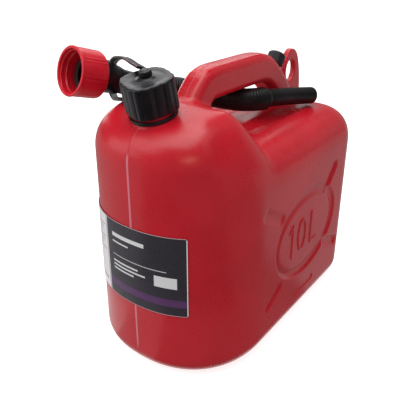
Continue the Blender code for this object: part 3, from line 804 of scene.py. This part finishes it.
def cap_radius(theta, r, h):
    """Four broad lobes, sixteen scallops, and faint flutes round the skirt."""
    if r < 20.95 and h < CAP_TOP - 1.2:
        return np.full(len(theta), r)
    outer = float(step((r - 20.9) / 1.9)) if h < CAP_LOW + 2.0 else float(step((r - 14.0) / 7.0))
    corner = np.cos(4 * (theta - math.radians(20.0)))
    scallop = 0.95 * np.abs(np.cos(8 * theta + 0.3)) ** 0.7 - 0.65
    lobe = (1.2 * corner + scallop) * outer
    skirt = float(step((CAP_TOP - 0.9 - h) / 2.6) * step((r - 21.4) / 1.0))
    flute = -0.12 * skirt * (0.5 - 0.5 * np.cos(48 * theta)) ** 0.8
    return r + lobe + flute


cap = turn("filler_cap_skin", NECK_BASE, NECK_DIR, cap_profile, 448, BLACK, cap_radius, 40)
place_piece(cap, "filler_cap", "black_moulding", "filler_cap")

seal_top = CAP_LOW + 26.4 - 0.4
seal = turn(
    "filler_cap_seal_disc",
    NECK_BASE,
    NECK_DIR,
    rounded([(0, seal_top - 1.6), (19.4, seal_top - 1.6), (19.4, seal_top), (0, seal_top)], [0, 0.5, 0.5, 0]),
    96,
    FOAM,
)
place_piece(seal, "cap_lifter", "seal_foam", "filler_cap_seal")

button_profile = rounded(
    [
        (3.4, CAP_TOP + 2.0), (5.5, CAP_TOP + 2.0), (5.8, CAP_TOP + 2.8),
        (5.8, CAP_TOP + 5.9), (5.2, CAP_TOP + 6.8), (3.6, CAP_TOP + 6.9),
        (3.0, CAP_TOP + 7.4), (0.0, CAP_TOP + 7.5), (0.0, CAP_TOP + 4.8),
        (3.4, CAP_TOP + 4.6),
    ],
    [0.2, 0.4, 0.5, 0.5, 0.5, 0.3, 0.4, 0, 0, 0.4],
)
button = turn("tether_button", NECK_BASE, NECK_DIR, button_profile, 72, TETHER, None, 50)
place_piece(button, "cap_lifter", "black_tether", "tether_eyelet")

ring_profile = rounded([(19.7, -1.5), (22.0, -1.5), (22.0, 1.5), (19.7, 1.5)], [0.4, 0.7, 0.7, 0.4])
ring = turn("tether_ring", NECK_BASE, NECK_DIR, ring_profile, 128, TETHER)
place_piece(ring, "root", "black_tether", "tether_neck_ring")

# =============================================================== spout
MOUTH = np.array([-94.5, -129.19, 284.54])
AXIS = unit([0.182, 0.947, -0.267])
NUT_LONG = 32.0
down = np.array([0.0, 0.0, -1.0])
down = unit(down - AXIS * (down @ AXIS))
START = MOUTH + down * 1.6
COLLAR = 50.0

# ---- union nut, with an internal thread cut in its bore
nut_outside = rounded(
    [
        (20.9, 0.0), (23.4, 0.0), (23.9, 1.2), (23.2, 2.6), (22.8, 28.6),
        (19.0, 32.0), (16.4, 32.0), (16.4, 29.4), (20.9, 29.4),
    ],
    [0.6, 0.5, 0.9, 0.6, 1.6, 1.2, 0.4, 0.6, 0.8],
)
nut_profile = refine(nut_outside, 0.55)


def nut_radius(theta, r, h):
    if r > 21.6 and 3.0 < h < 29.5:
        part = float(step((h - 3.0) / 1.5) * step((29.5 - h) / 2.0))
        turn_ = (theta * 4 / math.pi + 0.35) % 1.0
        pair = np.exp(-(((turn_ - 0.42) / 0.035) ** 2)) + np.exp(-(((turn_ - 0.58) / 0.035) ** 2))
        return r + part * (0.30 * pair - 0.25 * np.exp(-(((turn_ - 0.5) / 0.05) ** 2)))
    if abs(r - 20.9) < 0.3 and 1.0 < h < 15.5:
        phase = (h / 6.2 - theta / (2 * math.pi)) % 1.0
        ends = float(step((h - 1.2) / 2.6) * step((15.3 - h) / 2.6))
        ridge = step(1 - np.abs(phase - 0.5) / 0.22)
        return r - 1.35 * ends * ridge
    return np.full(len(theta), r)


nut = turn("spout_union_nut_skin", MOUTH, AXIS, nut_profile, 480, NUT_RED, nut_radius, 45)
place_piece(nut, "spout_nut", "red_nut", "spout_union_nut")

gasket = turn(
    "spout_gasket_ring",
    START,
    AXIS,
    rounded([(13.0, 16.2), (18.4, 16.2), (18.4, 18.2), (13.0, 18.2)], [0.5, 0.5, 0.5, 0.5]),
    128,
    RUBBER,
)
place_piece(gasket, "spout", "gasket_rubber", "spout_gasket")

# ---- the hose: flange, straight collar, corrugated length, taper and tip
hose_points = np.array(
    [
        START + AXIS * COLLAR,
        (-75.0, -66.2, 263.2), (-62.5, -42.0, 257.6), (-47.0, -23.6, 253.8),
        (-32.6, -6.6, 248.5), (-16.2, 6.1, 243.8), (2.8, 16.4, 241.7),
        (15.0, 27.6, 241.4), (22.0, 44.0, 240.7), (30.0, 80.3, 236.5),
        (40.1, 114.7, 232.0),
    ]
)
hose_line = curve_through(hose_points, 24)
hose_long = length_of(hose_line)
TAPER_FROM, TAPER_TO = 166.0, 171.0
PITCH = 2.5


def hose_outside(s):
    """Outer radius at a length along the hose, from the collar's end."""
    r = 14.4 + (12.4 - 14.4) * step(s / 9.0)
    r = r + (9.8 - 12.5) * step((s - TAPER_FROM) / (TAPER_TO - TAPER_FROM))
    ribbed = step((s - 9.0) / 5.0) * step((TAPER_FROM + 1.0 - s) / 4.0)
    wave = np.cos(2 * math.pi * s / PITCH)
    return r - 0.42 * ribbed * (0.5 - 0.5 * np.sign(wave) * np.abs(wave) ** 0.7)


HOSE_STEPS = 64


def hose_ring(centre, tangent, across, radius):
    up = np.cross(tangent, across)
    a = np.arange(HOSE_STEPS) * 2 * math.pi / HOSE_STEPS
    return centre + np.outer(radius * np.cos(a), across) + np.outer(radius * np.sin(a), up)


across = unit(np.cross(AXIS, [0, 0, 1.0]))
base_outside = refine(
    rounded(
        [
            (18.6, 15.6), (18.6, 18.8), (29.0, 18.8), (29.0, 14.4), (33.6, 14.4),
            (34.0, 16.3), (40.0, 16.1), (50.0, 14.4),
        ],
        [0.4, 0.8, 0.8, 0.8, 0.4, 0.8, 4.0, 0],
    ),
    2.0,
    closed=False,
)


def collar_rise(t):
    """The collar stands a little high behind the nut and comes back to the axis."""
    return -down * 1.7 * float(step((t - 30.0) / 4.0) * step((52.0 - t) / 12.0))


base_inside = refine(
    rounded([(18.6, 15.6), (25.6, 15.6), (25.6, 12.4), (50.0, 12.4)], [0.4, 0.5, 0.6, 0]), 2.0, closed=False
)
outer, inner = [], []
for t, r in base_outside[1:]:
    outer.append(hose_ring(START + AXIS * t + collar_rise(t), AXIS, across, r))
for t, r in base_inside[1:]:
    inner.append(hose_ring(START + AXIS * t, AXIS, across, r))
lengths = np.concatenate([
    np.arange(0.4, TAPER_FROM + 4.0, PITCH / 9),
    np.arange(TAPER_FROM + 4.0, hose_long - 1.6, 1.2),
    hose_long - np.array([1.5, 1.1, 0.7, 0.35, 0.1, 0.0]),
])
centres, tangents = along(hose_line, lengths)
side = across.copy()
for s, c, t in zip(lengths, centres, tangents):
    side = unit(side - t * (side @ t))
    left = hose_long - s
    lip = 1.3 - math.sqrt(max(1.3**2 - max(1.3 - left, 0.0) ** 2, 0.0)) if left < 1.3 else 0.0
    outer.append(hose_ring(c, t, side, float(hose_outside(s)) - lip * 0.8))
    inner.append(hose_ring(c, t, side, float(min(hose_outside(s), 14.4) - 2.0) + 0.2 * lip))
rings = outer + inner[::-1]
spout = make_mesh(
    "flexible_spout_skin",
    np.concatenate(rings),
    [ring_faces(len(rings), HOSE_STEPS, closed_loop=True)],
    SPOUT,
    40,
)
place_piece(spout, "spout", "black_spout", "flexible_spout")

# =============================================================== tether strap
strap_line = curve_through(
    [
        (-6.2, -125.2, 297.2), (-16.8, -118.2, 296.6), (-28.5, -111.3, 296.4),
        (-41.5, -103.6, 296.6), (-55.3, -95.5, 295.9), (-68.2, -88.0, 293.6),
        (-81.4, -80.2, 290.2), (-93.2, -73.9, 283.6), (-101.2, -70.4, 271.0),
        (-99.5, -74.0, 259.4), (-91.5, -78.1, 251.9), (-82.5, -83.6, 250.4),
        (-71.0, -91.5, 252.9), (-59.5, -100.5, 258.0), (-47.0, -108.6, 261.0),
        (-35.0, -112.0, 262.0), (-22.4, -111.2, 263.1),
    ],
    16,
)
strap_long = length_of(strap_line)
strap_at = np.arange(0.0, strap_long, 0.9)
centres, tangents = along(strap_line, strap_at)
section = rounded([(-4.2, -1.2), (4.2, -1.2), (4.2, 1.2), (-4.2, 1.2)], [0.5, 0.5, 0.5, 0.5], 4)
section = refine(section, 0.9)
strap_verts = []
for s, c, t in zip(strap_at, centres, tangents):
    wide = unit(AXIS - t * (AXIS @ t))
    flat = np.cross(t, wide)
    # fine cross ribs on the half that comes back under the spout
    rib = 0.22 * float(step((s - strap_long * 0.50) / 6.0)) * (0.5 - 0.5 * math.cos(2 * math.pi * s / 3.6))
    for w, f in section:
        lift = rib * (1 if abs(w) < 3.5 else 0) * (1 if f > 0 else -1)
        strap_verts.append(c + wide * w + flat * (f - lift))
n = len(section)
strap_quads = ring_faces(len(centres), n)
last = (len(centres) - 1) * n
caps = [np.arange(n)[None, ::-1], (last + np.arange(n))[None]]
strap = make_mesh("tether_strap_skin", np.array(strap_verts), [strap_quads] + caps, TETHER, 50)
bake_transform(strap)
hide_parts("tether_strap")

# =============================================================== vent cap
VENT_HIGH = 12.4
vent_profile = refine(
    rounded(
        [
            (7.7, -VENT_HIGH), (9.9, -VENT_HIGH), (10.2, -VENT_HIGH + 0.8),
            (10.15, -0.5), (8.8, 1.1), (5.9, 1.0), (5.3, 0.6), (0.0, 0.5),
            (0.0, -1.7), (7.7, -1.7),
        ],
        [0.3, 0.4, 0.5, 1.3, 1.1, 0.4, 0.4, 0, 0, 0.4],
    ),
    1.0,
)


def vent_radius(theta, r, h):
    skirt = float(step((0.3 - h) / 1.6) * step((r - 9.4) / 0.4))
    return r - 0.34 * skirt * (0.5 - 0.5 * np.cos(34 * theta)) ** 0.7


vent = turn("vent_cap_skin", VENT_RIM, VENT_DIR, vent_profile, 272, BLACK, vent_radius, 45)
place_piece(vent, "vent_cap", "black_moulding", "vent_cap")
vent_seal = turn(
    "vent_cap_seal_disc",
    VENT_RIM,
    VENT_DIR,
    rounded([(0, -2.7), (7.2, -2.7), (7.2, -1.95), (0, -1.95)], [0, 0.25, 0.25, 0]),
    72,
    FOAM,
)
place_piece(vent_seal, "vent_lifter", "seal_foam", "vent_cap_seal")

# =============================================================== front label
LABEL_LOW, LABEL_HIGH = 77.0, 160.6
LABEL_FROM, LABEL_TO = -52.0, 35.4


def label_point(angle, z, out):
    half = HALF - DRAFT * (z - REFERENCE_Z)
    depth = FRONT_DEPTH - SLANT * (z - REFERENCE_Z)
    s, c = math.sin(math.radians(angle)), math.cos(math.radians(angle))
    k = (abs(s / half) ** FRONT_POWER + (c / depth) ** FRONT_POWER) ** (-1 / FRONT_POWER)
    x, y = k * s, k * c
    nx = math.copysign(abs(x / half) ** (FRONT_POWER - 1) / half, x)
    ny = (y / depth) ** (FRONT_POWER - 1) / depth
    n = math.hypot(nx, ny)
    return (x + out * nx / n, FRONT_Y - y - out * ny / n, z)


def label_film():
    """Printed film: a charcoal panel beside a white one, with plain bars."""
    n = Nodes("label_film")
    uv = n.add("ShaderNodeUVMap", uv_map="film").outputs["UV"]
    u, v, _ = n.split(uv)

    def between(value, low, high, soft=0.0012):
        rise = n.ramp(value, low - soft, low + soft)
        drop = n.ramp(value, high - soft, high + soft, 1.0, 0.0)
        return n.math("MULTIPLY", rise, drop)

    def patch(u0, u1, v0, v1, soft=0.0012):
        return n.math("MULTIPLY", between(u, u0, u1, soft), between(v, v0, v1, soft))

    speck = n.ramp(n.noise(700.0, 4.0, 0.7), 0.35, 0.65)
    white = n.mix(speck, (0.74, 0.73, 0.74), (0.80, 0.79, 0.80))
    dark = n.mix(speck, (0.026, 0.023, 0.032), (0.036, 0.032, 0.042))
    colour = n.mix(between(u, 0.335, 0.9945), white, dark)
    # plain bars
    pale = (0.62, 0.62, 0.64)
    for box_ in (
        (0.400, 0.700, 0.800, 0.850),
        (0.400, 0.560, 0.725, 0.745),
        (0.400, 0.860, 0.560, 0.568),
        (0.400, 0.640, 0.470, 0.492),
        (0.400, 0.700, 0.420, 0.442),
        (0.400, 0.600, 0.370, 0.392),
        (0.770, 0.930, 0.360, 0.500),
    ):
        colour = n.mix(patch(*box_), colour, pale)
    colour = n.mix(patch(0.335, 0.9945, 0.120, 0.215), colour, (0.090, 0.030, 0.115))
    grey = (0.16, 0.155, 0.17)
    for k in range(7):
        top = 0.86 - 0.055 * k
        colour = n.mix(patch(0.050, 0.290 - 0.03 * (k % 3), top - 0.012, top), colour, grey)
    colour = n.mix(patch(0.050, 0.290, 0.110, 0.130), colour, (0.22, 0.05, 0.20))
    colour = n.mix(between(u, 0.318, 0.326), colour, (0.20, 0.06, 0.22))
    edge = n.math("MAXIMUM", n.ramp(v, 0.9935, 0.9960), n.ramp(v, 0.0075, 0.0050))
    colour = n.mix(edge, colour, (0.46, 0.34, 0.36))
    n.set(Base_Color=colour, IOR=1.48)
    n.set(Roughness=n.ramp(n.noise(120.0, 4.0), 0.3, 0.7, 0.30, 0.42))
    n.set(Normal=n.bump(n.noise(160.0, 3.0), 0.25, 0.00012))
    return n.mat


COLUMNS = 120
ROWS = 24
LABEL = label_film()
verts, uvs = [], []
for k in range(COLUMNS + 1):
    u = k / COLUMNS
    angle = LABEL_FROM + (LABEL_TO - LABEL_FROM) * u
    for j in range(ROWS + 1):
        v = j / ROWS
        # rounded corners
        cut = 1.3 - math.sqrt(max(1.3**2 - max(1.3 - min(u, 1 - u) * 142.0, 0.0) ** 2, 0.0))
        z = LABEL_LOW + cut + (LABEL_HIGH - LABEL_LOW - 2 * cut) * v
        verts.append((angle, z, u, v))
points = []
for out in (0.62, 0.98):
    points += [label_point(a, z, out) for a, z, _, _ in verts]
points = np.array(points)
stride = ROWS + 1
layer = (COLUMNS + 1) * stride
quads = []
for k in range(COLUMNS):
    for j in range(ROWS):
        a = k * stride + j
        quads.append((a, a + stride, a + stride + 1, a + 1))
top = np.array(quads) + layer
bottom = np.array(quads)[:, ::-1]
rim = [k * stride for k in range(COLUMNS + 1)]
rim += [COLUMNS * stride + j for j in range(1, ROWS + 1)]
rim += [k * stride + ROWS for k in range(COLUMNS - 1, -1, -1)]
rim += [j for j in range(ROWS - 1, 0, -1)]
rim = np.array(rim)
nxt = np.roll(rim, -1)
skirt = np.stack([rim, nxt, nxt + layer, rim + layer], 1)
label = make_mesh("front_label_film", points, [top, bottom, skirt], LABEL, 40)
film = label.data.uv_layers.new(name="film")
which = np.empty(len(label.data.loops), np.int32)
label.data.loops.foreach_get("vertex_index", which)
table = np.array([(u, v) for _, _, u, v in verts] * 2, np.float32)
film.data.foreach_set("uv", table[which].reshape(-1))
place_piece(label, "root", "label_film", "front_label")

# =============================================================== floor
def floor_material():
    n = Nodes("studio_floor")
    n.set(Base_Color=colour_pair(n, (0.50, 0.50, 0.50), (0.53, 0.53, 0.53), 3.0))
    n.set(Roughness=0.6, Specular_IOR_Level=0.2)
    n.set(Emission_Color=(1, 1, 1, 1), Emission_Strength=0.78)
    return n.mat


bm = bmesh.new()
bmesh.ops.create_grid(bm, x_segments=4, y_segments=4, size=30.0)
mesh = bpy.data.meshes.new("studio_floor")
bm.to_mesh(mesh)
bm.free()
mesh.materials.append(floor_material())
floor = bpy.data.objects.new("studio_floor", mesh)
scene.collection.objects.link(floor)


# =============================================================== light
def softbox(name, place, look_at, width, height, radiance, colour=(1, 1, 1)):
    """A square studio light whose face has the given brightness."""
    data = bpy.data.lights.new(name, "AREA")
    data.shape = "RECTANGLE"
    data.size, data.size_y = width, height
    data.energy = radiance * width * height * math.pi
    data.color = colour
    obj = bpy.data.objects.new(name, data)
    obj.location = place
    aim = Vector(look_at) - Vector(place)
    obj.rotation_mode = "QUATERNION"
    obj.rotation_quaternion = aim.to_track_quat("-Z", "Y")
    obj.visible_camera = False
    scene.collection.objects.link(obj)
    return obj


def around(azimuth, elevation, distance, centre=(0.0, -0.05, 0.20)):
    """A place seen from the can: azimuth 0 is behind it, 90 to its right."""
    a, e = math.radians(azimuth), math.radians(elevation)
    return Vector(centre) + distance * Vector((math.sin(a) * math.cos(e), math.cos(a) * math.cos(e), math.sin(e)))


CENTRE = (0.0, -0.05, 0.20)
SOFTBOXES = [
    # name, azimuth, elevation, distance, width, height, brightness
    ("ceiling", 0, 89, 1.6, 0.74, 0.74, 3.4),
    ("over_front", 180, 64, 1.6, 1.00, 0.84, 2.7),
    ("over_left", -62, 64, 1.6, 0.86, 0.70, 2.7),
    ("over_right", 82, 64, 1.6, 1.30, 0.66, 0.8),
    ("front_left", -148, 38, 1.6, 1.00, 0.80, 1.7),
    ("back_window", -38, 33, 1.6, 1.00, 0.90, 1.45),
    ("back_right", 18, 39, 1.6, 1.10, 0.72, 0.30),
    ("right_fill", 106, 39, 1.6, 0.86, 0.72, 0.25),
    ("low_left", -132, 13, 1.6, 1.30, 0.60, 1.3),
    ("left_back", -62, 13, 1.6, 0.80, 0.60, 3.0),
    ("back_wall", 0, 13, 1.8, 2.50, 0.66, 0.34),
]
for title, azimuth, elevation, distance, width, height, bright in SOFTBOXES:
    softbox(title, around(azimuth, elevation, distance), CENTRE, width, height, bright)
LAMP_AT = (0.053, -0.138, 0.232)
softbox("small_lamp", around(149, 19, 2.0, LAMP_AT), LAMP_AT, 0.26, 0.12, 24.0, (1.0, 0.80, 0.50))


def base_reach(azimuth):
    """How far the can's base reaches from (0, -0.01) in that direction."""
    sx, sy = math.sin(math.radians(azimuth)), math.cos(math.radians(azimuth))
    r = 0.05
    while True:
        x, y = r * sx, r * sy - 0.01
        inside = abs(x) < 0.093 and -0.064 < y < 0.152
        if not inside and math.hypot(x, y + 0.064) > 0.093:
            return r + 0.001
        r += 0.001


def table_card(name, low, high, brightness, start=0.0, end=14.0):
    """A sector of table top that only shows in the gloss, from the base out."""
    n = Nodes(name)
    n.set(Base_Color=(0, 0, 0, 1), Roughness=1.0, Specular_IOR_Level=0.0)
    n.set(Emission_Color=(1, 0.98, 0.97, 1), Emission_Strength=brightness)
    inner, outer = [], []
    for i in range(17):
        azimuth = low + (high - low) * i / 16
        sx, sy = math.sin(math.radians(azimuth)), math.cos(math.radians(azimuth))
        r = base_reach(azimuth)
        near, far = r + start, max(r + end, r + 0.01)
        inner.append((near * sx, near * sy - 0.01, 0.001))
        outer.append((far * sx, far * sy - 0.01, 0.001))
    faces = [(i, i + 1, i + 18, i + 17) for i in range(16)]
    mesh = bpy.data.meshes.new(name)
    mesh.from_pydata(inner + outer, [], faces)
    mesh.materials.append(n.mat)
    obj = bpy.data.objects.new(name, mesh)
    scene.collection.objects.link(obj)
    obj.visible_camera = False
    obj.visible_diffuse = False
    obj.visible_transmission = False
    obj.visible_shadow = False
    return obj


# The table reads dark in the gloss towards the camera, paler to the left.
table_card("table_front", 110, 200, 0.02, 0.10)
table_card("table_front_near", 110, 175, 0.16, 0.0, 0.10)
table_card("table_right", 55, 110, 0.17)
table_card("table_back", -30, 55, 0.45)
table_card("table_left", -110, -30, 0.40, 0.09)
table_card("table_corner", -160, -110, 0.50, 0.09)
table_card("table_left_near", -158, -30, 0.95, 0.0, 0.09)
table_card("table_corner_near", -185, -158, 0.50, 0.0, 0.09)
# The pale floor is for the camera: the fill from below is the world's.
floor.visible_diffuse = False
floor.visible_shadow = False

world = bpy.data.worlds.new("studio")
scene.world = world
world.use_nodes = True
background = world.node_tree.nodes["Background"]
background.inputs["Color"].default_value = (1, 1, 1, 1)
seen = world.node_tree.nodes.new("ShaderNodeLightPath")
level = world.node_tree.nodes.new("ShaderNodeMapRange")
level.inputs["To Min"].default_value = 0.58
level.inputs["To Max"].default_value = 1.0
world.node_tree.links.new(seen.outputs["Is Camera Ray"], level.inputs["Value"])
world.node_tree.links.new(level.outputs["Result"], background.inputs["Strength"])
world.cycles_visibility.glossy = False
scene.view_settings.view_transform = "Standard"
scene.view_settings.look = "None"

# =============================================================== camera
RIGHT = Vector((0.805, 0.593, 0.0)).normalized()
BACK = Vector((0.5338, -0.7244, 0.4361)).normalized()
RIGHT = (RIGHT - BACK * RIGHT.dot(BACK)).normalized()
UP = BACK.cross(RIGHT)
camera_data = bpy.data.cameras.new("camera")
camera_data.sensor_width = 36.0
camera_data.lens = 518.4946 / 400 * 36.0
camera_data.shift_x = -0.0050
camera_data.shift_y = 0.0027
camera_data.clip_end = 100.0
camera = bpy.data.objects.new("camera", camera_data)
camera.matrix_world = Matrix(
    (
        (RIGHT.x, UP.x, BACK.x, 0.29549),
        (RIGHT.y, UP.y, BACK.y, -0.44947),
        (RIGHT.z, UP.z, BACK.z, 0.38655),
        (0, 0, 0, 1),
    )
)
scene.collection.objects.link(camera)
scene.camera = camera

bpy.context.view_layer.update()
